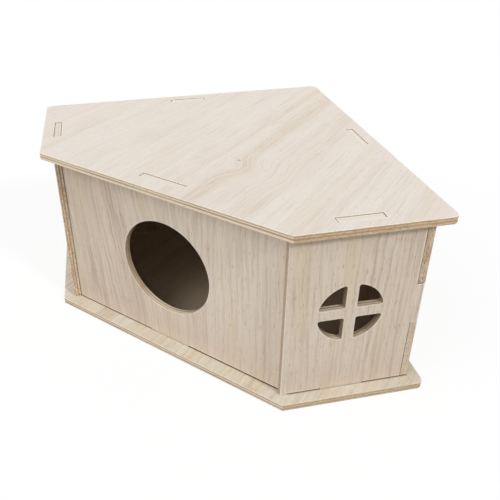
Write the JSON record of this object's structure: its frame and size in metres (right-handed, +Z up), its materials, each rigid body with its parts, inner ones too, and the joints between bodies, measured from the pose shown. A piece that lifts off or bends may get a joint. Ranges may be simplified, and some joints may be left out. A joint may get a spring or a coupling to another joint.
{
  "type": "small animal hideout",
  "caption": "Corner-shaped plywood hideout with a round entrance, a cross-barred round window, slotted walls and a lift-off roof.",
  "frame": {"origin": "under the middle of the floor board, on the surface that the hideout stands on", "axes": "+Z up, +Y towards the back corner where the two back walls meet, entrance facing -Y, window wall on the +X side"},
  "size_m": [0.3494, 0.2476, 0.14],
  "materials": {
    "board_plywood": "sanded, unfinished pale veneer",
    "wall_plywood": "sanded, unfinished pale veneer"
  },
  "bodies": {
    "house": {"floor_board": "board_plywood", "front_wall": "wall_plywood", "right_wall": "wall_plywood", "left_wall": "wall_plywood", "back_right_wall": "wall_plywood", "back_left_wall": "wall_plywood"},
    "roof": {"roof_board": "board_plywood"}
  },
  "joints": [
    {"name": "roof_lift", "type": "slide", "parent": "house", "child": "roof", "axis": [0, 0, 1], "range_m": [0, 0.08]}
  ]
}
